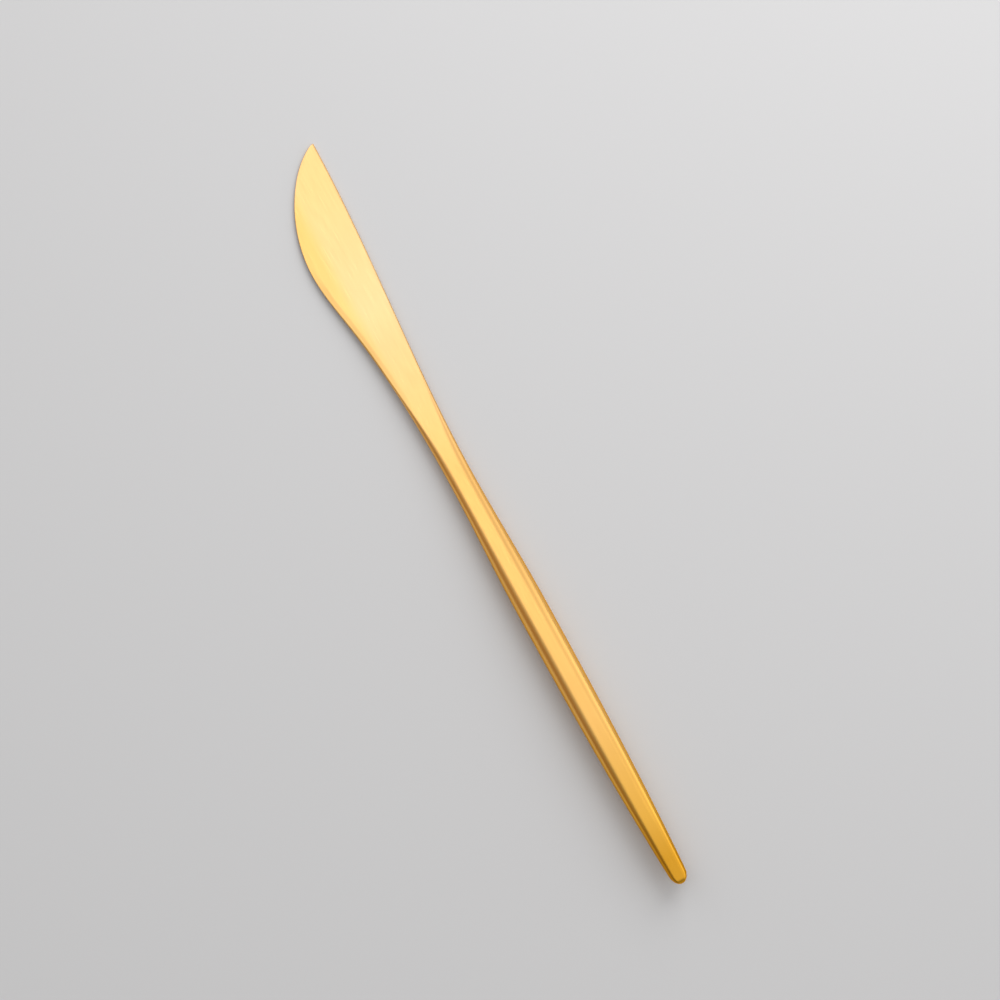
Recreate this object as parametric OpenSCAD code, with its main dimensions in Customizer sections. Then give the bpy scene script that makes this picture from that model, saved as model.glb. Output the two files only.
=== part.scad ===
// Table knife: a slender forged blade whose flat tang is brazed into a solid, tapering handle.
// Lengths are millimetres. "From the tip" is a distance back along the knife from the blade's point.
// X runs from the tip to the end of the handle, +Y is the spine side, -Y the cutting edge, +Z is up.
// The knife lies as it does on a table, on its handle's fullest part and on the tip of its blade.

/* [Overall] */
// Length from the blade's point to the end of the handle
knife_len = 222; // [205:1:245]
// Distance from the tip to the narrowest part of the neck
neck_at = 97; // [88:1:108]
// Distance from the tip to the widest part of the handle
grip_at = 138; // [126:1:160]
// Distance from the tip to the thickest part of the handle
thick_at = 150; // [130:1:165]

/* [Blade outline] */
// Height of the point above the handle's axis, on the spine side
tip_rise = 8.35; // [6:0.05:10]
// Depth of the cutting edge below the handle's axis, where it is deepest
belly_drop = 9; // [7.5:0.1:11]
// Distance from the tip to the deepest part of the cutting edge
belly_at = 31.3; // [26:0.1:38]
// Roundness of the cutting edge's sweep where it meets its deepest part
sweep_round = 1.93; // [1.5:0.01:2.4]
// Fullness of the cutting edge's sweep near the point, smaller being fuller
sweep_full = 0.69; // [0.55:0.01:0.85]
// Distance from the tip to the middle of the edge's straight run towards the neck
run_at = 48.6; // [42:0.1:58]
// Depth of the edge below the handle's axis at the middle of that run
run_drop = 6.85; // [5.6:0.05:7.4]
// Angle of that run to the handle's axis, in degrees
run_angle = 9.4; // [7:0.1:12]

/* [Blade section] */
// Length of the flat cheeks, from the tip
cheek_len = 58; // [48:1:70]
// Thickness on the axis where the flat cheeks end
cheek_t = 1.5; // [1.3:0.05:1.9]
// Slope of each cheek towards the tip, in degrees
distal_angle = 0.55; // [0.4:0.01:0.65]
// Slope of each cheek towards the cutting edge, in degrees
wedge_angle = 1.8; // [1.4:0.05:2.1]
// Width of the bevel along the cutting edge
bevel_w = 1.6; // [1:0.1:2.4]
// Slope of each bevel to the blade's middle plane, in degrees
bevel_angle = 7; // [5:0.5:9]
// Least thickness left at the cutting edge
edge_t = 0.24; // [0.16:0.01:0.32]
// Radius on the corners of the spine
spine_r = 0.4; // [0.25:0.05:0.6]

/* [Neck and handle] */
// Width of the neck
neck_w = 6.85; // [6.4:0.05:8]
// Thickness of the neck
neck_t = 3.9; // [3.6:0.1:4.8]
// Slope of the neck's upper and lower faces as they swell into the handle, in degrees
neck_flare = 2.4; // [1.5:0.1:3.2]
// Width of the handle at its widest
grip_w = 8.45; // [7.6:0.05:10]
// Thickness of the handle at its thickest
grip_t = 7.8; // [6.5:0.1:9]
// Width that the handle tapers to at its end
butt_w = 4.6; // [3.8:0.1:5.6]
// Thickness that the handle tapers to at its end
butt_t = 4.6; // [3.8:0.1:5.6]
// How late the handle's width falls away towards its end, 1 being a straight taper
late_w = 2.6; // [1.8:0.1:3.2]
// How late the handle's thickness falls away towards its end
late_t = 2; // [1.4:0.1:2.6]
// Length of the rounding of the handle's outline at its end
butt_round = 3.2; // [2:0.1:4]
// Length of the bend from the crown into the end of the handle
butt_bend = 1.4; // [0.8:0.1:2]
// Width of the flat crown along the handle's upper and lower faces, on which the knife lies still
crown_w = 2.4; // [1.6:0.1:3]
// Squareness of the rounding beside the crown where the handle is widest, 2 being an ellipse
grip_square = 2.1; // [2:0.05:2.8]
// Squareness of the rounding beside the crown at the handle's end
butt_square = 2.5; // [2.1:0.05:3.2]

/* [Tang joint] */
// Distance from the narrowest part of the neck back to the seam between blade and handle
seam_back = 7; // [4:0.5:12]
// Width of the flat tang
tang_w = 4.2; // [3.4:0.1:4.9]
// Thickness of the flat tang
tang_t = 2.2; // [1.8:0.1:2.5]
// Length of the tang behind the seam
tang_len = 24; // [18:1:30]
// Lead-in chamfer on the end of the tang
tang_chamfer = 0.8; // [0.4:0.1:1.2]
// Gap that the brazing metal fills round the tang
braze_gap = 0.1; // [0.05:0.01:0.15]
// Depth of the pocket left past the end of the tang
socket_spare = 1; // [0.5:0.1:2]

/* [Hidden] */

// Faces along and round the surfaces
SWEEP_STEPS = 16;
BLADE_STEPS = 36;
HANDLE_STEPS = 50;
ROUND_STEPS = 7;
SPINE_STEPS = 3;
CHEEK_STEPS = 8;
EDGE_STEPS = 3;
ACROSS = SPINE_STEPS + CHEEK_STEPS + EDGE_STEPS + 1;
SIDE_STEPS = (ACROSS - 1) / 2;
ARC_FN = 48;

// How strongly the rings crowd towards the point, and how far round the handle's end they go, in degrees
TIP_CROWDING = 1.8;
END_SWEEP = 86;

// The point is blunted by this much, and the tang is rooted this far into the blade
TIP_BLUNT = 0.05;
TANG_ROOT = 2;

// Near the point the bevel, the spine's corners and the edge's take no more than these shares of the width
GRIND_SHARE = 0.25;
EDGE_SHARE = 0.125;

seam_at = neck_at + seam_back;
round_at = knife_len - butt_round;

// Plain helpers
function mix(a, b, t) = a + (b - a) * t;
function ease(t) = t * t * (3 - 2 * t);
function between(s, a, b) = min(1, max(0, (s - a) / (b - a)));

// Share of the full height at a distance d in from a rounded side, a squareness of 2 being an ellipse
function rounding(d, side, square = 2) =
    d >= side ? 1 : pow(max(0, 1 - pow(1 - d / side, square)), 1 / square);

// Smooth curve through two guide points, each [distance from the tip, value, slope]
function curve(s, a, b) =
    let (span = b[0] - a[0], t = (s - a[0]) / span)
    mix(a[1], b[1], ease(t)) + span * t * (1 - t) * ((1 - t) * a[2] - t * b[2]);

// Guide points of the cutting edge and of the half thickness on the axis
belly_guide = [belly_at, -belly_drop, 0];
run_guide = [run_at, -run_drop, tan(run_angle)];
neck_edge_guide = [neck_at, -neck_w / 2, 0];
cheek_guide = [cheek_len, cheek_t / 2, tan(distal_angle)];
neck_guide = [neck_at, neck_t / 2, tan(neck_flare)];
thick_guide = [thick_at, grip_t / 2, 0];

// Width or thickness of the handle past its fullest part
function taper(s, full_at, full, end, late) =
    full - (full - end) * pow(between(s, full_at, knife_len), late);

function handle_half_w(s) =
    s < grip_at ? mix(neck_w, grip_w, ease(between(s, neck_at, grip_at))) / 2
    : taper(s, grip_at, grip_w, butt_w, late_w) / 2;

// Outline seen from above: the spine is one easy S from the point to the neck
function spine_y(s) =
    s < neck_at ? mix(tip_rise, neck_w / 2, ease(s / neck_at)) : handle_half_w(s);

function sweep_y(s) =
    tip_rise - (tip_rise + belly_drop) * pow(1 - pow(1 - s / belly_at, sweep_round), sweep_full);

function edge_y(s) =
    s < belly_at ? sweep_y(s)
    : s < run_at ? curve(s, belly_guide, run_guide)
    : s < neck_at ? curve(s, run_guide, neck_edge_guide)
    : -handle_half_w(s);

// Half thickness on the axis: flat taper, then a swelling neck, then the spindle of the handle
function axis_h(s) =
    s < cheek_len ? cheek_guide[1] - tan(distal_angle) * (cheek_len - s)
    : s < neck_at ? curve(s, cheek_guide, neck_guide)
    : s < thick_at ? curve(s, neck_guide, thick_guide)
    : taper(s, thick_at, grip_t, butt_t, late_t) / 2;

// How far the ground section has turned into the handle's rounded one, from 0 to 1
function turning(s) = ease(between(s, cheek_len, neck_at));

function squareness(s) =
    mix(2, mix(grip_square, butt_square, between(s, grip_at, knife_len)), turning(s));

// Half thickness that the cheek has at a distance d from the spine
function cheek_h(s, d) = axis_h(s) + tan(wedge_angle) * (1 - turning(s)) * (spine_y(s) - d);

// Widths of the spine's corner and of the bevel, on a section w wide
function spine_corner(w) = min(spine_r, w * GRIND_SHARE);
function bevel_width(w) = min(bevel_w, w * GRIND_SHARE);

// Half thickness that the bevel leaves at the edge, and the rounding there
function land_h(s, w) =
    max(edge_t / 2, cheek_h(s, w - bevel_width(w)) - bevel_width(w) * tan(bevel_angle) * (1 - turning(s)));
function edge_corner(s, w) = min(land_h(s, w), spine_r, w * EDGE_SHARE);

// Width of the rounded side of a handle section w wide, beside its flat crown
function side_width(w) = (w - crown_w) / 2;

// Half thickness at a distance d from the spine, on a section w wide
function section_h(s, d, w) =
    let (
        bevel = bevel_width(w),
        ground = w - d < bevel ? mix(land_h(s, w), cheek_h(s, w - bevel), (w - d) / bevel) : cheek_h(s, d),
        grown = pow(turning(s), 2),
        spine_side = mix(spine_corner(w), side_width(w), grown),
        edge_side = mix(edge_corner(s, w), side_width(w), grown)
    )
    ground * rounding(d, spine_side, squareness(s)) * rounding(w - d, edge_side, squareness(s));

// Distances from the spine at which a section has its points
function blade_across(s, w) =
    let (r = spine_corner(w), bevel = bevel_width(w), edge = edge_corner(s, w))
    concat(
        [for (k = [0:SPINE_STEPS - 1]) r * (1 - cos(90 * k / SPINE_STEPS))],
        [for (k = [0:CHEEK_STEPS]) mix(r, w - bevel, k / CHEEK_STEPS)],
        [for (k = [0:EDGE_STEPS]) w - edge * (1 - sin(90 * k / EDGE_STEPS))]
    );

function handle_across(w) =
    let (side = [for (k = [0:SIDE_STEPS]) side_width(w) * (1 - cos(90 * k / SIDE_STEPS))])
    concat(side, [for (k = [SIDE_STEPS:-1:0]) w - side[k]]);

// One closed ring of points round the knife, over the top from the spine to the edge and back below
function ring(s) =
    let (
        w = spine_y(s) - edge_y(s),
        end_y = rounding(knife_len - s, butt_round),
        end_h = rounding(knife_len - s, butt_bend),
        flat = blade_across(s, w),
        oval = handle_across(w),
        d = [for (k = [0:ACROSS]) mix(flat[k], oval[k], turning(s))],
        top = [for (k = [0:ACROSS]) [s, end_y * (spine_y(s) - d[k]), end_h * section_h(s, d[k], w)]]
    )
    concat(top, [for (k = [ACROSS - 1:-1:1]) [top[k][0], top[k][1], -top[k][2]]]);

// Distances from the tip at which the two lofts have their rings
blade_stations = concat(
    [for (k = [0:SWEEP_STEPS]) mix(TIP_BLUNT, belly_at, pow(k / SWEEP_STEPS, TIP_CROWDING))],
    [for (k = [1:BLADE_STEPS]) mix(belly_at, seam_at, k / BLADE_STEPS)]
);
handle_stations = concat(
    [for (k = [0:HANDLE_STEPS]) mix(seam_at, round_at, k / HANDLE_STEPS)],
    [for (k = [1:ROUND_STEPS]) round_at + butt_round * sin(END_SWEEP * k / ROUND_STEPS)]
);
blade_rings = [for (s = blade_stations) ring(s)];
handle_rings = [for (s = handle_stations) ring(s)];

// Pitch at which the knife rests on its tip and on the fullest part of its handle
tip_h = cheek_h(0, 0);
rest_pitch = max([for (s = handle_stations) atan((axis_h(s) - tip_h) / s)]);

// Box of the knife as it lies, from which it is centred on the origin and set on z = 0
laid = [
    for (r = concat(blade_rings, handle_rings), p = r)
        [
            p[0] * cos(rest_pitch) - p[2] * sin(rest_pitch),
            p[1],
            p[0] * sin(rest_pitch) + p[2] * cos(rest_pitch)
        ]
];
low = [for (axis = [0:2]) min([for (p = laid) p[axis]])];
high = [for (axis = [0:2]) max([for (p = laid) p[axis]])];

module on_table() {
    translate([-(low[0] + high[0]) / 2, -(low[1] + high[1]) / 2, -low[2]])
        rotate([0, -rest_pitch, 0])
            children();
}

// Closed skin over a row of rings
module loft(rings) {
    n = len(rings[0]);
    last = (len(rings) - 1) * n;
    sides = [
        for (j = [0:len(rings) - 2], k = [0:n - 1])
            let (a = j * n + k, b = j * n + (k + 1) % n)
            each [[a, a + n, b], [b, a + n, b + n]]
    ];
    polyhedron(
        points = [for (r = rings, p = r) p],
        faces = concat([[for (k = [0:n - 1]) k]], sides, [[for (k = [n - 1:-1:0]) last + k]])
    );
}

// Flat bar with round edges, standing on the XY plane with its width along Y
module flat_bar(width, thickness, length) {
    linear_extrude(length) {
        square([thickness, width - thickness], center = true);
        for (side = [-1, 1])
            translate([0, side * (width - thickness) / 2])
                circle(d = thickness, $fn = ARC_FN);
    }
}

// Tang, from its root inside the blade to its chamfered end inside the handle
module tang() {
    far = seam_at + tang_len;
    intersection() {
        translate([seam_at - TANG_ROOT, 0, 0])
            rotate([0, 90, 0])
                flat_bar(tang_w, tang_t, tang_len + TANG_ROOT);
        translate([0, 0, -tang_t])
            linear_extrude(2 * tang_t)
                polygon([
                    [seam_at - TANG_ROOT, -tang_w / 2],
                    [far - tang_chamfer, -tang_w / 2],
                    [far, -tang_w / 2 + tang_chamfer],
                    [far, tang_w / 2 - tang_chamfer],
                    [far - tang_chamfer, tang_w / 2],
                    [seam_at - TANG_ROOT, tang_w / 2]
                ]);
    }
}

// Space that the handle leaves for the tang and its brazing metal
module socket() {
    translate([seam_at, 0, 0])
        rotate([0, 90, 0])
            flat_bar(tang_w + 2 * braze_gap, tang_t + 2 * braze_gap, tang_len + socket_spare);
}

// Blade, neck and tang, forged and ground in one piece of hardening steel
module blade() {
    color("#FCE29A")
        on_table()
            union() {
                loft(blade_rings);
                tang();
            }
}

// Solid handle, with a blind slot let into its front end for the tang
module handle() {
    color("#F0BE60")
        on_table()
            difference() {
                loft(handle_rings);
                socket();
            }
}

// Brazing metal that fills the gap round the tang and the pocket past its end
module tang_braze() {
    color("#C9A24B")
        on_table()
            difference() {
                socket();
                tang();
            }
}

blade();
handle();
tang_braze();
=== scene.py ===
"""Table knife in satin gold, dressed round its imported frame.

One Geometry Nodes tree lofts the blade and the handle from the sizes that the part is built from, and the
two smooth pieces stand for the two faceted solids. The brazing metal between them keeps its solid and gets
a finish of its own. The knife's sizes are millimetres and degrees, and a station is a distance back from
the tip; Blender's own lengths are metres.
"""
import logging
import math
from dataclasses import dataclass, fields
from enum import Enum
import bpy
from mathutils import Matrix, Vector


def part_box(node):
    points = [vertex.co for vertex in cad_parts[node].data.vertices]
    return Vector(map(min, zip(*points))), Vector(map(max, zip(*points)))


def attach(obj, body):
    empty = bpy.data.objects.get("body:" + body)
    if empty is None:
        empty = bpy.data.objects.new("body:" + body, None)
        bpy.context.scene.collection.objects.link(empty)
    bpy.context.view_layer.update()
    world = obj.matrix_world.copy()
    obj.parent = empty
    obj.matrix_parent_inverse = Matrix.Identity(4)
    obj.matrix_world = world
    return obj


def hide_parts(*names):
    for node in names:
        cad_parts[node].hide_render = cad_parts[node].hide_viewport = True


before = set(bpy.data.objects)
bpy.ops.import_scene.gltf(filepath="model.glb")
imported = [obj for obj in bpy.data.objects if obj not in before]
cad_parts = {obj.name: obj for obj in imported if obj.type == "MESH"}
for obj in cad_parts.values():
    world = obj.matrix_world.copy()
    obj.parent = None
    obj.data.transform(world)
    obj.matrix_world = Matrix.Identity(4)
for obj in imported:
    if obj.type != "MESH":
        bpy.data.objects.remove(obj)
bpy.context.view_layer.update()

from types import SimpleNamespace
from typing import Any

import bpy
from mathutils import Matrix, Vector

MM = 0.001
NOISE_LOW, NOISE_HIGH = 0.3, 0.7  # Most of a noise texture's values lie between these
MIX_SHARE, MIX_A, MIX_B, MIX_OUT = 0, 6, 7, 2  # Sockets of a colour mix node
CURVE_TOP = 2.0  # Strength that a float curve's 1 stands for
LOG = logging.getLogger("table_knife")


def linear(code: str) -> tuple[float, float, float, float]:
    """Turns an sRGB hex colour into the linear colour that a shader takes.

    Args:
        code: Colour as "#RRGGBB".

    Returns:
        Red, green, blue and an alpha of 1, in linear light.
    """
    parts = [int(code[i:i + 2], 16) / 255 for i in (1, 3, 5)]
    red, green, blue = (c / 12.92 if c <= 0.04045 else ((c + 0.055) / 1.055) ** 2.4 for c in parts)
    return red, green, blue, 1.0


def place(tree: bpy.types.NodeTree, kind: str, inputs: dict[int | str, Any] | None = None,
          **settings: Any) -> bpy.types.Node:
    """Adds one node to a tree, with its settings and its inputs.

    Args:
        tree: Tree that gets the node.
        kind: Blender's name for the kind of node.
        inputs: For each input, by name or number, the socket that it is linked from or its fixed value.
        **settings: The node's own settings by name.

    Returns:
        The node.
    """
    node = tree.nodes.new(kind)
    for name, value in settings.items():
        setattr(node, name, value)
    for key, value in (inputs or {}).items():
        if isinstance(value, bpy.types.NodeSocket):
            tree.links.new(value, node.inputs[key])
        else:
            node.inputs[key].default_value = value
    return node


def empty_tree(holder: bpy.types.Material | bpy.types.World) -> bpy.types.NodeTree:
    """Switches a material or a world to nodes and clears those that it starts with.

    Args:
        holder: The material or the world.

    Returns:
        Its tree.
    """
    holder.use_nodes = True
    holder.node_tree.nodes.clear()
    return holder.node_tree


class Term:
    """A number in a Geometry Nodes tree, on which plain arithmetic adds the nodes that work it out."""

    def __init__(self, tree: bpy.types.NodeTree, value: bpy.types.NodeSocket | float) -> None:
        """Holds the tree, and the socket or the fixed number that the term stands for."""
        self.tree = tree
        self.value = value

    def work(self, operation: str, *others: "Term | float") -> "Term":
        """Adds one operation on this number.

        Args:
            operation: Blender's name for the operation.
            *others: The operation's further numbers.

        Returns:
            The result.
        """
        values = [self.value, *(o.value if isinstance(o, Term) else o for o in others)]
        node = place(self.tree, "ShaderNodeMath", dict(enumerate(values)), operation=operation)
        return Term(self.tree, node.outputs[0])

    def __add__(self, other: "Term | float") -> "Term":
        """Sum."""
        return self.work("ADD", other)

    __radd__ = __add__

    def __sub__(self, other: "Term | float") -> "Term":
        """Difference."""
        return self.work("SUBTRACT", other)

    def __rsub__(self, other: float) -> "Term":
        """Difference from a plain number."""
        return Term(self.tree, other).work("SUBTRACT", self)

    def __mul__(self, other: "Term | float") -> "Term":
        """Product."""
        return self.work("MULTIPLY", other)

    __rmul__ = __mul__

    def __truediv__(self, other: "Term | float") -> "Term":
        """Quotient."""
        return self.work("DIVIDE", other)

    def __rtruediv__(self, other: float) -> "Term":
        """Quotient of a plain number by this one."""
        return Term(self.tree, other).work("DIVIDE", self)

    def __pow__(self, other: "Term | float") -> "Term":
        """Power of a number that isn't below 0."""
        return self.work("POWER", other)

    def lowest(self, other: "Term | float") -> "Term":
        """Smaller of two numbers."""
        return self.work("MINIMUM", other)

    def highest(self, other: "Term | float") -> "Term":
        """Larger of two numbers."""
        return self.work("MAXIMUM", other)

    def tangent(self) -> "Term":
        """Tangent of an angle in degrees."""
        return self.work("RADIANS").work("TANGENT")

    def before(self, limit: "Term | float", then: "Term | float", otherwise: "Term | float") -> "Term":
        """Chooses between two numbers.

        Args:
            limit: Number that this one is compared with.
            then: Result where this one is the smaller.
            otherwise: Result elsewhere.

        Returns:
            The chosen number.
        """
        return mix(otherwise, then, self.work("LESS_THAN", limit))


Number = Term | float


def mix(a: Number, b: Number, t: Term) -> Term:
    """Number between a and b at the share t."""
    return t * (b - a) + a


def ease(t: Term) -> Term:
    """Share that starts and ends gently."""
    return t * t * (3.0 - 2.0 * t)


def between(s: Term, a: Number, b: Number) -> Term:
    """Share of the way from a to b at which s lies, held to 0 and 1."""
    return ((s - a) / (b - a)).highest(0.0).lowest(1.0)


def rounding(d: Term, side: Number, square: Number = 2.0) -> Term:
    """Works out how a rounded side lowers a section.

    Args:
        d: Distance in from the side's edge.
        side: Width of the rounding.
        square: Its squareness, 2 being an ellipse.

    Returns:
        Share of the full height at that distance.
    """
    out = (1.0 - d / side).highest(0.0)
    return (1.0 - out ** square).highest(0.0) ** (1.0 / square)


def curve(s: Term, a: tuple[Number, Number, Number], b: tuple[Number, Number, Number]) -> Term:
    """Follows a smooth curve through two guide points.

    Args:
        s: Station.
        a: First guide point, as its station, value and slope.
        b: Second guide point.

    Returns:
        The curve's value at the station.
    """
    span = b[0] - a[0]
    t = between(s, a[0], b[0])
    return mix(a[1], b[1], ease(t)) + span * t * (1.0 - t) * ((1.0 - t) * a[2] - t * b[2])


@dataclass(frozen=True)
class KnifeSizes:
    """The sizes that drive the knife's skin, as its source has them.

    Attributes:
        knife_len: Length from the point to the handle's end.
        neck_at: Station of the narrowest part of the neck.
        grip_at: Station of the handle's widest part.
        thick_at: Station of its thickest part.
        tip_rise: Distance of the point from the handle's axis, towards the spine.
        belly_drop: Distance of the edge's deepest part from it.
        belly_at: Station of the deepest part of the cutting edge.
        sweep_round: Roundness of the edge's sweep at its deepest part.
        sweep_full: Fullness of the sweep near the point, smaller being fuller.
        run_at: Station of the middle of the edge's straight run to the neck.
        run_drop: How far the edge lies from the axis there.
        run_angle: Angle of that run to the axis.
        cheek_len: Length of the flat cheeks.
        cheek_t: Thickness on the axis where they end.
        distal_angle: Slope of each cheek towards the tip.
        wedge_angle: Slope of each cheek towards the edge.
        bevel_w: Width of the bevel.
        bevel_angle: Slope of each bevel.
        edge_t: Least thickness at the edge.
        spine_r: Radius on the corners of the spine.
        neck_w: Width of the neck.
        neck_t: Thickness of the neck.
        neck_flare: Slope of the neck's faces towards the handle.
        grip_w: Greatest width of the handle.
        grip_t: Greatest thickness of the handle.
        butt_w: Width that the handle tapers to.
        butt_t: Thickness that the handle tapers to.
        late_w: How late the width falls away, 1 being a straight taper.
        late_t: How late the thickness falls away.
        butt_round: Length of the outline's rounding at the handle's end.
        butt_bend: Length of the crown's bend into the handle's end.
        crown_w: Width of the handle's flat crown.
        grip_square: Squareness of the sides at the widest part, 2 being an ellipse.
        butt_square: The same at the handle's end.
        tang_w: Width of the tang.
        tang_t: Thickness of the tang.
        grind_share: Most of the width that the bevel or the spine's corner takes.
        edge_share: Most of the width that the edge's corner takes.
        tip_blunt: How far the point is blunted.
        point_round: Length over which the point rounds off in thickness.
        bevel_blend: Softness of the ridge between cheek and bevel.
        rest_pitch: Angle at which the knife lies on its tip and its handle.
        shift_x: Move along X that centres the lying knife's box.
        shift_y: The same along Y.
        shift_z: Lift that sets it on the table.
    """

    knife_len: float = 222.0
    neck_at: float = 97.0
    grip_at: float = 138.0
    thick_at: float = 150.0
    tip_rise: float = 8.35
    belly_drop: float = 9.0
    belly_at: float = 31.3
    sweep_round: float = 1.93
    sweep_full: float = 0.69
    run_at: float = 48.6
    run_drop: float = 6.85
    run_angle: float = 9.4
    cheek_len: float = 58.0
    cheek_t: float = 1.5
    distal_angle: float = 0.55
    wedge_angle: float = 1.8
    bevel_w: float = 1.6
    bevel_angle: float = 7.0
    edge_t: float = 0.24
    spine_r: float = 0.4
    neck_w: float = 6.85
    neck_t: float = 3.9
    neck_flare: float = 2.4
    grip_w: float = 8.45
    grip_t: float = 7.8
    butt_w: float = 4.6
    butt_t: float = 4.6
    late_w: float = 2.6
    late_t: float = 2.0
    butt_round: float = 3.2
    butt_bend: float = 1.4
    crown_w: float = 2.4
    grip_square: float = 2.1
    butt_square: float = 2.5
    tang_w: float = 4.2
    tang_t: float = 2.2
    grind_share: float = 0.25
    edge_share: float = 0.125
    tip_blunt: float = 0.05
    point_round: float = 0.4
    bevel_blend: float = 0.03
    rest_pitch: float = 1.36102
    shift_x: float = -110.986
    shift_y: float = 0.325
    shift_z: float = 0.455504


@dataclass(frozen=True)
class JointSizes:
    """The sizes of the tang joint, as the knife's source has them.

    Attributes:
        seam_back: Distance from the narrowest part of the neck back to the seam.
        tang_len: Length of the tang behind the seam.
        tang_chamfer: Chamfer on the end of the tang.
        braze_gap: Gap that the brazing metal fills round the tang.
        socket_spare: Depth of the pocket past the end of the tang.
    """

    seam_back: float = 7.0
    tang_len: float = 24.0
    tang_chamfer: float = 0.8
    braze_gap: float = 0.1
    socket_spare: float = 1.0


class Lane(Enum):
    """What a point's place across a section is stored as, each a share from 0 to 1, and its face."""

    SPINE_ARC = "spine_arc"
    CHEEK_RUN = "cheek_run"
    BEVEL_RUN = "bevel_run"
    EDGE_ARC = "edge_arc"
    SIDE_IN = "side_in"
    CROWN_RUN = "crown_run"
    SIDE_OUT = "side_out"
    FACE = "face"


class RowMark(Enum):
    """What a point's place along the knife is stored as."""

    STATION = "station"
    ON_TANG = "on_tang"
    PINCH = "pinch"
    OPEN = "open"


class SkinRule:
    """The rule that places every point of the knife's skin, written as Geometry Nodes."""

    TREE_NAME = "knife_skin"

    def __init__(self) -> None:
        """Builds the tree with one named input for each size."""
        self.tree = bpy.data.node_groups.new(self.TREE_NAME, "GeometryNodeTree")
        make = self.tree.interface.new_socket
        make("Geometry", in_out="INPUT", socket_type="NodeSocketGeometry")
        self.sockets = {
            size.name: make(self.label(size.name), in_out="INPUT", socket_type="NodeSocketFloat")
            for size in fields(KnifeSizes)
        }
        self.finish_socket = make("Finish", in_out="INPUT", socket_type="NodeSocketMaterial")
        make("Geometry", in_out="OUTPUT", socket_type="NodeSocketGeometry")
        self.entry = place(self.tree, "NodeGroupInput")
        self.size = SimpleNamespace(**{
            name: Term(self.tree, self.entry.outputs[self.label(name)]) for name in self.sockets
        })
        self.write()

    @staticmethod
    def label(name: str) -> str:
        """Human name of a size's input."""
        return name.replace("_", " ").capitalize()

    def stored(self, mark: Lane | RowMark) -> Term:
        """Reads what the net stores on its points."""
        node = place(self.tree, "GeometryNodeInputNamedAttribute", {"Name": mark.value}, data_type="FLOAT")
        return Term(self.tree, node.outputs["Attribute"])

    def taper(self, s: Term, full_at: Term, full: Term, end: Term, late: Term) -> Term:
        """Width or thickness past the handle's fullest part."""
        return full - (full - end) * between(s, full_at, self.size.knife_len) ** late

    def half_width(self, s: Term) -> Term:
        """Works out half the handle's width, from the neck's through its fullest part to its end.

        Args:
            s: Station.

        Returns:
            The half width there.
        """
        size = self.size
        swelling = mix(size.neck_w, size.grip_w, ease(between(s, size.neck_at, size.grip_at)))
        falling = self.taper(s, size.grip_at, size.grip_w, size.butt_w, size.late_w)
        return s.before(size.grip_at, swelling, falling) / 2.0

    def spine_y(self, s: Term) -> Term:
        """Works out the outline on the spine side: one easy S from the point to the neck, then the handle.

        Args:
            s: Station.

        Returns:
            The outline's distance from the handle's axis, + towards the spine.
        """
        size = self.size
        rising = mix(size.tip_rise, size.neck_w / 2.0, ease(between(s, 0.0, size.neck_at)))
        return s.before(size.neck_at, rising, self.half_width(s))

    def edge_y(self, s: Term) -> Term:
        """Works out the other outline: the edge's sweep, its straight run, the neck, then the handle.

        Args:
            s: Station.

        Returns:
            The outline's distance from the handle's axis, + towards the spine.
        """
        size = self.size
        back = 1.0 - between(s, 0.0, size.belly_at)
        fall = size.tip_rise + size.belly_drop
        sweep = size.tip_rise - fall * (1.0 - back ** size.sweep_round) ** size.sweep_full
        belly = (size.belly_at, 0.0 - size.belly_drop, 0.0)
        run = (size.run_at, 0.0 - size.run_drop, size.run_angle.tangent())
        neck = (size.neck_at, 0.0 - size.neck_w / 2.0, 0.0)
        past_run = s.before(size.neck_at, curve(s, run, neck), 0.0 - self.half_width(s))
        past_belly = s.before(size.run_at, curve(s, belly, run), past_run)
        return s.before(size.belly_at, sweep, past_belly)

    def axis_h(self, s: Term) -> Term:
        """Works out half the thickness on the axis: flat taper, swelling neck, then the handle's spindle.

        Args:
            s: Station.

        Returns:
            The half thickness there.
        """
        size = self.size
        distal = size.distal_angle.tangent()
        cheek = (size.cheek_len, size.cheek_t / 2.0, distal)
        neck = (size.neck_at, size.neck_t / 2.0, size.neck_flare.tangent())
        thick = (size.thick_at, size.grip_t / 2.0, 0.0)
        flat = size.cheek_t / 2.0 - distal * (size.cheek_len - s)
        falling = self.taper(s, size.thick_at, size.grip_t, size.butt_t, size.late_t) / 2.0
        past_neck = s.before(size.thick_at, curve(s, neck, thick), falling)
        past_cheek = s.before(size.neck_at, curve(s, cheek, neck), past_neck)
        return s.before(size.cheek_len, flat, past_cheek)

    def across(self, width: Term, side: Term) -> Term:
        """Works out where a point lies across a section with a flat crown and rounded sides.

        Args:
            width: Width of the section.
            side: Width of each rounded side.

        Returns:
            The point's distance in from the spine side.
        """
        sides = self.stored(Lane.SIDE_IN) + self.stored(Lane.SIDE_OUT)
        return side * sides + (width - 2.0 * side) * self.stored(Lane.CROWN_RUN)

    def write(self) -> None:
        """Writes the rule: each point of the net goes to its place on the skin or on the tang."""
        size = self.size
        s = self.stored(RowMark.STATION)
        spine, edge, axis = self.spine_y(s), self.edge_y(s), self.axis_h(s)
        width = spine - edge
        turn = ease(between(s, size.cheek_len, size.neck_at))

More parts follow.
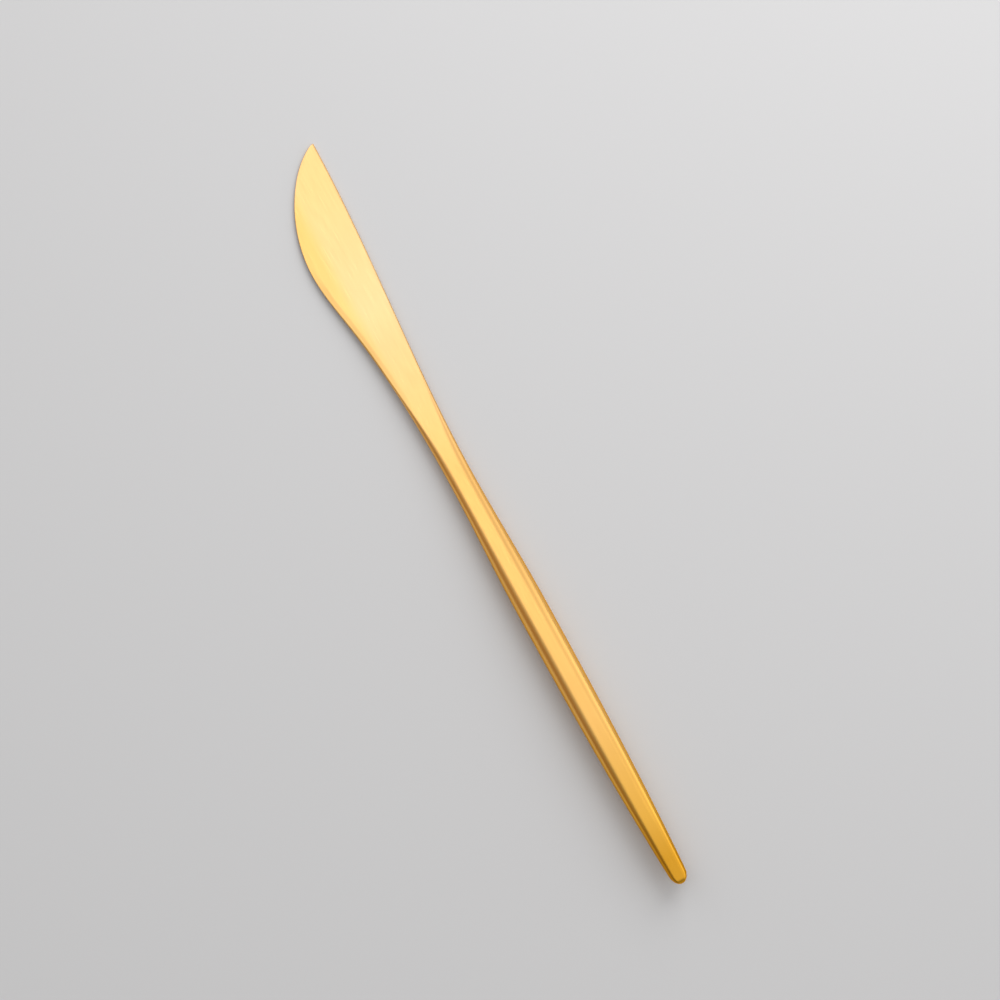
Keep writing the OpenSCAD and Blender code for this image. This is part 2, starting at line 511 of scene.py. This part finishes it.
        # The cheek, the bevel and the land that it leaves at the edge, which fade out towards the neck
        corner = size.spine_r.lowest(width * size.grind_share)
        bevel = size.bevel_w.lowest(width * size.grind_share)
        wedge = size.wedge_angle.tangent() * (1.0 - turn)
        shoulder = axis + wedge * (spine - (width - bevel))
        land = (shoulder - bevel * size.bevel_angle.tangent() * (1.0 - turn)).highest(size.edge_t / 2.0)
        rim = land.lowest(size.spine_r).lowest(width * size.edge_share)
        flat_d = (corner * self.stored(Lane.SPINE_ARC)
                  + (width - bevel - corner) * self.stored(Lane.CHEEK_RUN)
                  + (bevel - rim) * self.stored(Lane.BEVEL_RUN)
                  + rim * self.stored(Lane.EDGE_ARC))
        side = (width - size.crown_w) / 2.0
        d = mix(flat_d, self.across(width, side), turn)

        # The corners grow into the handle's rounded sides
        slope = mix(land, shoulder, (width - d) / bevel)
        ground = (axis + wedge * (spine - d)).work("SMOOTH_MIN", slope, size.bevel_blend * (1.0 - turn))
        square = mix(size.grip_square, size.butt_square, between(s, size.grip_at, size.knife_len))
        square = mix(2.0, square, turn)
        grown = turn * turn
        skin_h = (ground.highest(size.edge_t / 2.0)
                  * rounding(d, mix(corner, side, grown), square)
                  * rounding(width - d, mix(rim, side, grown), square))
        end_y = rounding(size.knife_len - s, size.butt_round)
        end_h = rounding(size.knife_len - s, size.butt_bend)
        point = rounding(s - size.tip_blunt, size.point_round)
        middle = (spine + edge) / 2.0

        tang_w = size.tang_w - 2.0 * self.stored(RowMark.PINCH)
        tang_side = size.tang_t / 2.0
        tang_d = self.across(tang_w, tang_side)
        tang_h = tang_side * rounding(tang_d, tang_side) * rounding(tang_w - tang_d, tang_side)

        on_tang, is_open = self.stored(RowMark.ON_TANG), self.stored(RowMark.OPEN)
        y = mix(middle, mix(end_y * (spine - d), tang_w / 2.0 - tang_d, on_tang), is_open)
        height = mix(end_h * point * skin_h, tang_h, on_tang) * is_open * self.stored(Lane.FACE)

        laid = place(self.tree, "ShaderNodeVectorRotate", {
            "Vector": self.vector(s, y, height),
            "Axis": (0.0, 1.0, 0.0),
            "Angle": (0.0 - size.rest_pitch).work("RADIANS").value,
        }, rotation_type="AXIS_ANGLE")
        moved = place(self.tree, "ShaderNodeVectorMath", {
            0: laid.outputs[0],
            1: self.vector(size.shift_x, size.shift_y, size.shift_z),
        }, operation="ADD")
        in_metres = place(self.tree, "ShaderNodeVectorMath", {0: moved.outputs[0], "Scale": MM},
                          operation="SCALE")
        skin = place(self.tree, "GeometryNodeSetPosition", {
            "Geometry": self.entry.outputs["Geometry"],
            "Position": in_metres.outputs[0],
        })
        real = place(self.tree, "GeometryNodeRealizeInstances", {"Geometry": skin.outputs[0]})
        dressed = place(self.tree, "GeometryNodeSetMaterial", {
            "Geometry": real.outputs[0],
            "Material": self.entry.outputs["Finish"],
        })
        place(self.tree, "NodeGroupOutput", {0: dressed.outputs[0]})

    def vector(self, x: Term, y: Term, z: Term) -> bpy.types.NodeSocket:
        """Socket that joins three numbers into a vector."""
        parts = {0: x.value, 1: y.value, 2: z.value}
        return place(self.tree, "ShaderNodeCombineXYZ", parts).outputs[0]


@dataclass(frozen=True)
class Row:
    """One ring of points of a net.

    Attributes:
        station: Distance back from the tip.
        on_tang: Whether the ring follows the tang's section.
        pinch: How far each side of the tang is drawn in, for its chamfer.
        crisp: Whether the ring is a sharp edge.
        pole: Whether the ring is drawn in to one point.
    """

    station: float
    on_tang: bool = False
    pinch: float = 0.0
    crisp: bool = False
    pole: bool = False


@dataclass(frozen=True)
class Net:
    """Closed net of rings that stores where each of its points belongs, for the skin rule to place.

    Attributes:
        rows: Rings from one end to the other, of which the first and the last are poles.
        spine_steps: Faces round the spine's corner.
        cheek_steps: Faces across the cheek.
        bevel_steps: Faces across the bevel.
        edge_steps: Faces round the cutting edge.
        crown_steps: Faces across the handle's crown.
    """

    rows: tuple[Row, ...]
    spine_steps: int = 8
    cheek_steps: int = 22
    bevel_steps: int = 8
    edge_steps: int = 4
    crown_steps: int = 6

    def lanes(self) -> list[dict[Lane, float]]:
        """Works out the marks of one ring's points, over the top from the spine and back below.

        Returns:
            For each point, its share along each stretch of the section, and 1, 0 or -1 for its face.
        """
        def arc_in(n: int) -> list[float]:
            """Shares along an arc that leaves an edge."""
            return [1 - math.cos(math.pi / 2 * i / n) for i in range(1, n + 1)]

        def arc_out(n: int) -> list[float]:
            """Shares along an arc that reaches an edge."""
            return [math.sin(math.pi / 2 * i / n) for i in range(1, n + 1)]

        def crowded(n: int) -> list[float]:
            """Shares along a flat stretch, closer together at both ends."""
            return [(1 - math.cos(math.pi * i / n)) / 2 for i in range(1, n + 1)]

        total = self.spine_steps + self.cheek_steps + self.bevel_steps + self.edge_steps
        sides = (total - self.crown_steps) // 2
        stretches = [
            [(Lane.SPINE_ARC, arc_in(self.spine_steps)), (Lane.CHEEK_RUN, crowded(self.cheek_steps)),
             (Lane.BEVEL_RUN, crowded(self.bevel_steps)), (Lane.EDGE_ARC, arc_out(self.edge_steps))],
            [(Lane.SIDE_IN, arc_in(sides)), (Lane.CROWN_RUN, crowded(self.crown_steps)),
             (Lane.SIDE_OUT, arc_out(sides))],
        ]
        top: list[dict[Lane, float]] = [{lane: 0.0 for lane in Lane} for _ in range(total + 1)]
        for family in stretches:
            start = 0
            for lane, shares in family:
                for i in range(1, total + 1):
                    top[i][lane] = shares[min(max(i - start, 1), len(shares)) - 1] if i > start else 0.0
                start += len(shares)
        for i, point in enumerate(top):
            point[Lane.FACE] = 0.0 if i in (0, total) else 1.0
        below = [{**point, Lane.FACE: -1.0} for point in reversed(top[1:-1])]
        return top + below

    def mesh(self, name: str) -> bpy.types.Mesh:
        """Builds the net as a mesh whose points carry their marks.

        Args:
            name: Name of the mesh.

        Returns:
            The mesh, closed at both poles, its faces wound so that they point outwards once placed.
        """
        lanes = self.lanes()
        n = len(lanes)
        rings: list[list[int]] = []
        marks: list[tuple[Row, dict[Lane, float]]] = []
        for row in self.rows:
            ring = lanes[:1] if row.pole else lanes
            rings.append([len(marks) + i for i in range(len(ring))])
            marks += [(row, lane) for lane in ring]
        faces: list[tuple[int, ...]] = []
        for a, b in zip(rings, rings[1:]):
            for i in range(n):
                j = (i + 1) % n
                if len(a) == 1:
                    faces.append((a[0], b[j], b[i]))
                elif len(b) == 1:
                    faces.append((a[i], a[j], b[0]))
                else:
                    faces.append((a[i], a[j], b[j], b[i]))
        mesh = bpy.data.meshes.new(name)
        mesh.from_pydata([(r.station * MM, 0.0, 0.0) for r, _ in marks], [], faces)
        stored: dict[str, list[float]] = {
            lane.value: [float(lane_marks[lane]) for _, lane_marks in marks] for lane in Lane
        }
        stored[RowMark.STATION.value] = [r.station for r, _ in marks]
        stored[RowMark.ON_TANG.value] = [float(r.on_tang) for r, _ in marks]
        stored[RowMark.PINCH.value] = [r.pinch for r, _ in marks]
        stored[RowMark.OPEN.value] = [float(not r.pole) for r, _ in marks]
        for key, values in stored.items():
            mesh.attributes.new(key, "FLOAT", "POINT").data.foreach_set("value", values)
        ring_of = [number for number, ring in enumerate(rings) for _ in ring]
        sharp = [
            ring_of[e.vertices[0]] == ring_of[e.vertices[1]] and self.rows[ring_of[e.vertices[0]]].crisp
            for e in mesh.edges
        ]
        mesh.attributes.new("sharp_edge", "BOOLEAN", "EDGE").data.foreach_set("value", sharp)
        mesh.polygons.foreach_set("use_smooth", [True] * len(mesh.polygons))
        mesh.update()
        return mesh


def lofted(name: str, net: Net, rule: SkinRule, sizes: KnifeSizes,
           finish: bpy.types.Material) -> bpy.types.Object:
    """Places a net's points by the skin rule and keeps the result as a plain mesh.

    Args:
        name: Name of the piece.
        net: The net.
        rule: The rule.
        sizes: Sizes for the rule's inputs.
        finish: Material of the piece.

    Returns:
        The piece, at the origin, with its place in its mesh and no modifier left.
    """
    piece = bpy.data.objects.new(name, net.mesh(name))
    bpy.context.scene.collection.objects.link(piece)
    skin = piece.modifiers.new("skin", "NODES")
    skin.node_group = rule.tree
    for size, socket in rule.sockets.items():
        skin[socket.identifier] = getattr(sizes, size)
    skin[rule.finish_socket.identifier] = finish
    graph = bpy.context.evaluated_depsgraph_get()
    plain = bpy.data.meshes.new_from_object(piece.evaluated_get(graph), depsgraph=graph)
    piece.modifiers.remove(skin)
    piece.data = plain
    plain.name = name
    for attribute in [a.name for a in plain.attributes if a.name in {m.value for m in (*Lane, *RowMark)}]:
        plain.attributes.remove(plain.attributes[attribute])
    return piece


@dataclass(frozen=True)
class SatinGold:
    """Gold-coloured titanium nitride, laid as vapour on finely brushed stainless steel.

    The brushing spreads every reflection into a soft sheen that runs along the knife. The coating is pale
    gold, and its colour is partly painted light: paler on the blade, which mirrors the bright tent, and
    darker along the handle, most of all near its end, which mirrors dimmer light. Towards the cutting edge
    the colour is darkened a little more, as painted shade.

    Attributes:
        name: Name of the material.
        tones: Places along the knife, in millimetres from its middle, each with its colour, partly the
            coating's own and partly painted light.
        edge_tint: Painted shade, a tint that darkens the colour towards the cutting edge.
        edge_from: Where that tint starts, in millimetres from the knife's middle towards the edge.
        edge_to: Where it is full.
        grazing: Tint of the coating at grazing angles.
        roughness: Roughness of the brushed surface.
        sheen_spread: How far single strokes are rougher or smoother than that.
        brush_pitch: Distance between strokes, in millimetres.
        brush_length: Length of the strokes, in millimetres.
        brush_depth: Depth of the strokes, in millimetres.
        brush_detail: Steps of finer noise in the strokes.
        brush_broken: How strong each finer step is in the strokes.
        cloud_size: Size of the slow clouds in the coating's tone, in millimetres.
        cloud_detail: Steps of finer noise in the clouds.
        cloud_tint: Least and greatest factor that the clouds put on the tone.
    """

    name: str = "vapour_coated_gold_on_brushed_steel"
    # Partly painted light: paler where the blade mirrors bright light, darker towards the handle's end
    tones: tuple[tuple[float, str], ...] = (
        (-100.0, "#FFCE8A"), (-65.0, "#FFD498"), (-14.0, "#FEC674"), (60.0, "#FBC46F"), (90.0, "#F2B84E"),
        (103.0, "#E4A632"))
    # Painted shade towards the cutting edge
    edge_tint: str = "#FFFADC"
    edge_from: float = 1.0
    edge_to: float = 5.5
    grazing: str = "#FFD890"
    roughness: float = 0.32
    sheen_spread: float = 0.05
    brush_pitch: float = 0.25
    brush_length: float = 18.0
    brush_depth: float = 0.001
    brush_detail: float = 4.0
    brush_broken: float = 0.6
    cloud_size: float = 26.0
    cloud_detail: float = 3.0
    cloud_tint: tuple[float, float] = (0.975, 1.02)

    def build(self) -> bpy.types.Material:
        """Builds the finish as a material.

        Returns:
            The material.
        """
        material = bpy.data.materials.new(self.name)
        tree = empty_tree(material)
        spot = place(tree, "ShaderNodeTexCoord").outputs["Object"]

        # The colour follows the distance along the knife; its paler blade and darker handle end are partly
        # painted light and shade
        along = place(tree, "ShaderNodeSeparateXYZ", {0: spot}).outputs["X"]
        first, last = self.tones[0][0], self.tones[-1][0]
        share = place(tree, "ShaderNodeMapRange", {
            "Value": along, "From Min": first * MM, "From Max": last * MM,
        }).outputs["Result"]
        tone = place(tree, "ShaderNodeValToRGB", {"Fac": share})
        stops = tone.color_ramp.elements
        for at, _ in self.tones[1:-1]:
            stops.new((at - first) / (last - first))
        for stop, (_, code) in zip(stops, self.tones):
            stop.color = linear(code)

        # Painted shade: the colour is darkened towards the cutting edge
        width = place(tree, "ShaderNodeSeparateXYZ", {0: spot}).outputs["Y"]
        thick = place(tree, "ShaderNodeMapRange", {
            "Value": width, "From Min": -self.edge_from * MM, "From Max": -self.edge_to * MM,
        }, interpolation_type="SMOOTHSTEP").outputs["Result"]
        edge_shaded_tone = place(tree, "ShaderNodeMix", {
            MIX_SHARE: thick, MIX_A: tone.outputs["Color"], MIX_B: linear(self.edge_tint),
        }, data_type="RGBA", blend_type="MULTIPLY").outputs[MIX_OUT]

        # Slow clouds in the tone
        clouds = place(tree, "ShaderNodeTexNoise", {
            "Vector": spot, "Scale": 1 / (self.cloud_size * MM), "Detail": self.cloud_detail,
        }).outputs["Fac"]
        least, most = self.cloud_tint
        tint = place(tree, "ShaderNodeMapRange", {
            "Value": clouds, "From Min": NOISE_LOW, "From Max": NOISE_HIGH, "To Min": least, "To Max": most,
        }).outputs["Result"]
        clouded = place(tree, "ShaderNodeVectorMath", {0: edge_shaded_tone, "Scale": tint},
                        operation="SCALE").outputs[0]

        # Brushing along the knife. The real strokes are about 0.02 mm apart, too fine to show, so they are
        # drawn twelve times as coarse and very shallow.
        stretched = place(tree, "ShaderNodeMapping", {
            "Vector": spot,
            "Scale": (1 / (self.brush_length * MM), 1 / (self.brush_pitch * MM), 1 / (self.brush_pitch * MM)),
        }).outputs[0]
        strokes = place(tree, "ShaderNodeTexNoise", {
            "Vector": stretched, "Scale": 1.0, "Detail": self.brush_detail, "Roughness": self.brush_broken,
        }).outputs["Fac"]
        sheen = place(tree, "ShaderNodeMapRange", {
            "Value": strokes, "From Min": NOISE_LOW, "From Max": NOISE_HIGH,
            "To Min": self.roughness - self.sheen_spread, "To Max": self.roughness + self.sheen_spread,
        }).outputs["Result"]
        relief = place(tree, "ShaderNodeBump", {
            "Height": strokes, "Strength": 1.0, "Distance": self.brush_depth * MM,
        }).outputs["Normal"]
        metal = place(tree, "ShaderNodeBsdfPrincipled", {
            "Base Color": clouded, "Metallic": 1.0, "Roughness": sheen, "Normal": relief,
            "Specular Tint": linear(self.grazing),
        })
        place(tree, "ShaderNodeOutputMaterial", {"Surface": metal.outputs[0]})
        return material


@dataclass(frozen=True)
class RunBraze:
    """Silver-bearing brazing metal as it ran into the joint: pale yellow, smooth and faintly rippled.

    Attributes:
        name: Name of the material.
        bright: Colour on the crests of the ripples.
        dull: Colour between them.
        roughness: Roughness of the metal.
        ripple: Distance between ripples, in millimetres.
        ripple_depth: Depth of the ripples, in millimetres.
        ripple_detail: Steps of finer noise in the ripples.
    """

    name: str = "silver_bearing_braze_as_run"
    bright: str = "#D9C58A"
    dull: str = "#B79B5C"
    roughness: float = 0.28
    ripple: float = 0.8
    ripple_depth: float = 0.01
    ripple_detail: float = 2.0

    def build(self) -> bpy.types.Material:
        """Builds the finish as a material.

        Returns:
            The material.
        """
        material = bpy.data.materials.new(self.name)
        tree = empty_tree(material)
        spot = place(tree, "ShaderNodeTexCoord").outputs["Object"]
        ripples = place(tree, "ShaderNodeTexNoise", {
            "Vector": spot, "Scale": 1 / (self.ripple * MM), "Detail": self.ripple_detail,
        }).outputs["Fac"]
        tone = place(tree, "ShaderNodeValToRGB", {"Fac": ripples})
        for stop, code in zip(tone.color_ramp.elements, (self.dull, self.bright)):
            stop.color = linear(code)
        relief = place(tree, "ShaderNodeBump", {
            "Height": ripples, "Strength": 1.0, "Distance": self.ripple_depth * MM,
        }).outputs["Normal"]
        metal = place(tree, "ShaderNodeBsdfPrincipled", {
            "Base Color": tone.outputs["Color"], "Metallic": 1.0, "Roughness": self.roughness,
            "Normal": relief,
        })
        place(tree, "ShaderNodeOutputMaterial", {"Surface": metal.outputs[0]})
        return material


def spread(first: float, last: float, steps: int, crowding: float = 1.0) -> list[float]:
    """Stations from the first to the last, closer together near the first where crowding is over 1."""
    return [first + (last - first) * (i / steps) ** crowding for i in range(steps + 1)]


@dataclass
class Blade:
    """Forged blade: the ground blade and neck, and the flat tang behind the seam.

    Attributes:
        sizes: Sizes of the knife's skin.
        joint: Sizes of the tang joint.
        sweep_rows: Stretches between rings along the edge's sweep.
        body_rows: Stretches between rings from there to the seam.
        first_row: Distance from the blunted point to the first ring.
        tip_crowding: How strongly the rings crowd towards the point.
    """

    sizes: KnifeSizes
    joint: JointSizes
    sweep_rows: int = 70
    body_rows: int = 140
    first_row: float = 0.02
    tip_crowding: float = 1.8

    def net(self) -> Net:
        """Lays out the net of the blade, from its point to the end of its tang.

        Returns:
            The net.
        """
        sizes, joint = self.sizes, self.joint
        seam = sizes.neck_at + joint.seam_back
        far = seam + joint.tang_len
        sweep = spread(sizes.tip_blunt + self.first_row, sizes.belly_at, self.sweep_rows, self.tip_crowding)
        body = spread(sizes.belly_at, seam, self.body_rows)[1:-1]
        return Net((
            Row(sizes.tip_blunt, pole=True),
            *(Row(s) for s in sweep + body),
            Row(seam, crisp=True),
            Row(seam, on_tang=True, crisp=True),
            Row(far - joint.tang_chamfer, on_tang=True, crisp=True),
            Row(far, on_tang=True, pinch=joint.tang_chamfer, crisp=True),
            Row(far, on_tang=True, pole=True),
        ))

    def build(self, rule: SkinRule, finish: bpy.types.Material) -> bpy.types.Object:
        """Builds the piece and dresses it.

        Args:
            rule: Rule that places the net's points.
            finish: Material of the piece.

        Returns:
            The piece, which stands for the node "blade".
        """
        piece = lofted("forged_blade", self.net(), rule, self.sizes, finish)
        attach(piece, "root")
        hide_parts("blade")
        return piece


@dataclass
class Handle:
    """Solid handle: the tapering spindle, and the blind slot in its front end for the tang.

    Attributes:
        sizes: Sizes of the knife's skin.
        joint: Sizes of the tang joint.
        body_rows: Stretches between rings from the seam to the rounded end.
        end_rows: Rings round the end.
        end_sweep: How far round the end the rings go, in degrees.
    """

    sizes: KnifeSizes
    joint: JointSizes
    body_rows: int = 170
    end_rows: int = 22
    end_sweep: float = 88.0

    def net(self) -> Net:
        """Lays out the net of the handle, from the bottom of its slot, out at the seam and back to its end.

        Returns:
            The net.
        """
        sizes, joint = self.sizes, self.joint
        seam = sizes.neck_at + joint.seam_back
        bottom = seam + joint.tang_len + joint.socket_spare
        round_at = sizes.knife_len - sizes.butt_round
        body = spread(seam, round_at, self.body_rows)[1:]
        turns = [math.radians(self.end_sweep * i / self.end_rows) for i in range(1, self.end_rows + 1)]
        return Net((
            Row(bottom, on_tang=True, pole=True),
            Row(bottom, on_tang=True, crisp=True),
            Row(seam, on_tang=True, crisp=True),
            Row(seam, crisp=True),
            *(Row(s) for s in body),
            *(Row(round_at + sizes.butt_round * math.sin(turn)) for turn in turns),
            Row(sizes.knife_len, pole=True),
        ))

    def build(self, rule: SkinRule, finish: bpy.types.Material) -> bpy.types.Object:
        """Builds the piece and dresses it.

        Args:
            rule: Rule that places the net's points.
            finish: Material of the piece.

        Returns:
            The piece, which stands for the node "handle".
        """
        room = 2 * self.joint.braze_gap
        wider = {size.name: getattr(self.sizes, size.name) for size in fields(self.sizes)}
        wider.update(tang_w=self.sizes.tang_w + room, tang_t=self.sizes.tang_t + room)
        piece = lofted("solid_handle", self.net(), rule, KnifeSizes(**wider), finish)
        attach(piece, "root")
        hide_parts("handle")
        return piece


@dataclass
class TangBraze:
    """Brazing metal round the tang, whose solid is kept and given its finish.

    Attributes:
        node: Node of the solid.
    """

    node: str = "tang_braze"

    def build(self, finish: bpy.types.Material) -> bpy.types.Object:
        """Puts the finish on the solid.

        Args:
            finish: Material of the brazing metal.

        Returns:
            The solid's object.
        """
        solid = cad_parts[self.node]
        solid.data.materials.clear()
        solid.data.materials.append(finish)
        return solid


@dataclass
class Studio:
    """Pale floor under a soft light tent, and one soft lamp over the spine side of the blade.

    The tent is brightest above the blade and, at the handle's end, low on the spine's side. It dims towards
    the cutting edge's side, sooner at the handle's end, and once more past that end, so that the handle has
    a dark side. The cloth is white, and slightly warm on its dim side.

    Attributes:
        floor_side: Side of the square floor, in metres.
        floor_drop: How far the floor lies under the knife's points of rest, in metres.
        floor_tone: Colour of the floor.
        floor_roughness: Roughness of the floor.
        floor_shine: How much of a plain surface's reflection the floor has.
        tent_tone: Colour of the tent's cloth.
        dim_tone: Colour of the cloth on the dim side.
        warm_from: Where the cloth starts to turn to that colour, on the scale of fade_at.
        warm_to: Where it has turned.
        dim_side: Level direction in which the tent grows dim.
        fade_at: Places at which the tent's strength is given, from -1 at the horizon on the spine side, past
            0 overhead, to 1 at the horizon on the dim side.
        blade_end: Strength of the tent at those places, at the blade's end.
        handle_end: The same at the handle's end.
        ends_meet: How far to each side of overhead the one end's fade turns into the other's.
        far_end: Share of the tent's strength that is left at the horizon past the handle's end.
        lamp_at: Place of the lamp, in metres.
        lamp_side: Side of the square lamp, in metres.
        lamp_power: Power of the lamp, in watts.
    """

    floor_side: float = 8.0
    floor_drop: float = 0.00001
    floor_tone: str = "#C2C2C3"
    floor_roughness: float = 0.9
    floor_shine: float = 0.2
    tent_tone: str = "#FFFFFF"
    dim_tone: str = "#FFD6AA"
    warm_from: float = 0.5
    warm_to: float = 0.9
    dim_side: tuple[float, float, float] = (0.12, -0.99, 0.0)
    fade_at: tuple[float, ...] = (-0.9, -0.6, -0.3, 0.0, 0.3, 0.6, 0.9)
    blade_end: tuple[float, ...] = (0.8, 0.7, 1.0, 1.66, 1.2, 0.5, 0.38)
    handle_end: tuple[float, ...] = (1.9, 1.1, 1.05, 0.98, 0.1, 0.16, 0.28)
    ends_meet: float = 0.22
    far_end: float = 0.5
    lamp_at: tuple[float, float, float] = (-0.3, 0.4, 0.4)
    lamp_side: float = 0.5
    lamp_power: float = 2.9

    def floor(self) -> bpy.types.Object:
        """Builds the floor, a hair under the knife's two points of rest.

        Returns:
            The floor.
        """
        half = self.floor_side / 2
        mesh = bpy.data.meshes.new("studio_floor")
        corners = ((-half, -half), (half, -half), (half, half), (-half, half))
        mesh.from_pydata([(x, y, -self.floor_drop) for x, y in corners], [], [(0, 1, 2, 3)])
        material = bpy.data.materials.new("matt_pale_board")
        tree = empty_tree(material)
        board = place(tree, "ShaderNodeBsdfPrincipled", {
            "Base Color": linear(self.floor_tone), "Roughness": self.floor_roughness,
            "Specular IOR Level": self.floor_shine,
        })
        place(tree, "ShaderNodeOutputMaterial", {"Surface": board.outputs[0]})
        mesh.materials.append(material)
        floor = bpy.data.objects.new("studio_floor", mesh)
        bpy.context.scene.collection.objects.link(floor)
        return floor

    def fade(self, tree: bpy.types.NodeTree, along: bpy.types.NodeSocket,
             levels: tuple[float, ...]) -> bpy.types.NodeSocket:
        """Adds a soft fade of the tent's strength.

        Args:
            tree: The world's tree.
            along: Number from -1 to 1 that the fade follows.
            levels: The strength at each of the fade's places.

        Returns:
            The strength.
        """
        share = place(tree, "ShaderNodeMapRange", {"Value": along, "From Min": -1.0, "From Max": 1.0})
        ramp = place(tree, "ShaderNodeFloatCurve", {"Value": share.outputs["Result"]})
        ramp.mapping.extend = "HORIZONTAL"
        points = ramp.mapping.curves[0].points
        while len(points) > 2:
            points.remove(points[1])
        places = [((at + 1) / 2, level / CURVE_TOP) for at, level in zip(self.fade_at, levels)]
        points[0].location, points[1].location = places[0], places[-1]
        for spot in places[1:-1]:
            points.new(*spot)
        ramp.mapping.update()
        return place(tree, "ShaderNodeMath", {0: ramp.outputs["Value"], 1: CURVE_TOP},
                     operation="MULTIPLY").outputs[0]

    def tent(self) -> bpy.types.World:
        """Builds the light tent as the world.

        Returns:
            The world.
        """
        world = bpy.data.worlds.new("light_tent")
        tree = empty_tree(world)
        way = place(tree, "ShaderNodeTexCoord").outputs["Generated"]
        aside = place(tree, "ShaderNodeVectorMath", {0: way, 1: Vector(self.dim_side).normalized()},
                      operation="DOT_PRODUCT").outputs["Value"]
        endwards = place(tree, "ShaderNodeSeparateXYZ", {0: way}).outputs["X"]
        share = place(tree, "ShaderNodeMapRange", {
            "Value": endwards, "From Min": -self.ends_meet, "From Max": self.ends_meet,
        }).outputs["Result"]
        level = place(tree, "ShaderNodeMix", {
            "Factor": share, "A": self.fade(tree, aside, self.blade_end),
            "B": self.fade(tree, aside, self.handle_end),
        }).outputs["Result"]
        left = place(tree, "ShaderNodeMapRange", {
            "Value": endwards, "From Min": self.ends_meet, "From Max": 1.0,
            "To Min": 1.0, "To Max": self.far_end,
        }).outputs["Result"]
        strength = place(tree, "ShaderNodeMath", {0: level, 1: left}, operation="MULTIPLY").outputs[0]
        tone = place(tree, "ShaderNodeValToRGB", {"Fac": aside})
        white, warm = tone.color_ramp.elements
        white.position, white.color = self.warm_from, linear(self.tent_tone)
        warm.position, warm.color = self.warm_to, linear(self.dim_tone)
        cloth = place(tree, "ShaderNodeBackground", {"Color": tone.outputs["Color"], "Strength": strength})
        place(tree, "ShaderNodeOutputWorld", {"Surface": cloth.outputs[0]})
        bpy.context.scene.world = world
        return world

    def lamp(self) -> bpy.types.Object:
        """Adds the one soft lamp, over the spine side of the blade's point and aimed at the knife's middle.

        It gives the floor the knife's soft shadow. The metal mirrors the tent and not the lamp, which would
        burn out in it from low angles.

        Returns:
            The lamp.
        """
        data = bpy.data.lights.new("soft_panel", "AREA")
        data.shape = "SQUARE"
        data.size = self.lamp_side
        data.energy = self.lamp_power
        lamp = bpy.data.objects.new("soft_panel", data)
        spot = Vector(self.lamp_at)
        lamp.matrix_world = Matrix.Translation(spot) @ spot.to_track_quat("Z", "Y").to_matrix().to_4x4()
        lamp.visible_camera = False
        lamp.visible_glossy = False
        bpy.context.scene.collection.objects.link(lamp)
        return lamp

    def build(self) -> None:
        """Builds the floor, the tent and the lamp."""
        self.floor()
        self.tent()
        self.lamp()


@dataclass
class OverheadCamera:
    """Camera straight above the knife, turned as the photograph is.

    Attributes:
        height: Height above the floor, in metres.
        width: Width of the floor that the picture takes in, in metres.
        over: Point of the floor under the camera, in metres.
        turn: Angle from the knife's length to the picture's right-hand side, in degrees.
        sensor: Width of the sensor, in millimetres.
        nearest: Distance at which the camera starts to see, in metres.
    """

    height: float = 0.8
    width: float = 0.2697
    over: tuple[float, float] = (-0.0025, 0.0067)
    turn: float = 61.28
    sensor: float = 36.0
    nearest: float = 0.01

    def build(self) -> bpy.types.Object:
        """Builds the camera and makes it the scene's.

        Returns:
            The camera.
        """
        data = bpy.data.cameras.new("overhead_camera")
        data.sensor_width = self.sensor
        data.lens = self.sensor * self.height / self.width
        data.clip_start = self.nearest
        camera = bpy.data.objects.new("overhead_camera", data)
        camera.matrix_world = (Matrix.Translation((*self.over, self.height))
                               @ Matrix.Rotation(math.radians(self.turn), 4, "Z"))
        bpy.context.scene.collection.objects.link(camera)
        bpy.context.scene.camera = camera
        return camera


def report(piece: bpy.types.Object, node: str) -> None:
    """Logs a piece's size and how far its box lies from that of the node it stands for.

    Args:
        piece: The piece.
        node: The CAD node.
    """
    low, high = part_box(node)
    points = [v.co for v in piece.data.vertices]
    off = max(
        max(abs(min(p[i] for p in points) - low[i]), abs(max(p[i] for p in points) - high[i]))
        for i in range(3)
    )
    LOG.info("%s: %d faces, %.3f mm off the box of %s", piece.name, len(piece.data.polygons), off / MM, node)


def main() -> None:
    """Builds the camera, the studio and the knife."""
    logging.basicConfig(level=logging.INFO, format="%(name)s: %(message)s")
    bpy.context.scene.view_settings.view_transform = "Standard"
    OverheadCamera().build()
    Studio().build()
    sizes, joint = KnifeSizes(), JointSizes()
    rule = SkinRule()
    gold = SatinGold().build()
    report(Blade(sizes, joint).build(rule, gold), "blade")
    report(Handle(sizes, joint).build(rule, gold), "handle")
    report(TangBraze().build(RunBraze().build()), "tang_braze")


if __name__ == "__main__":
    main()
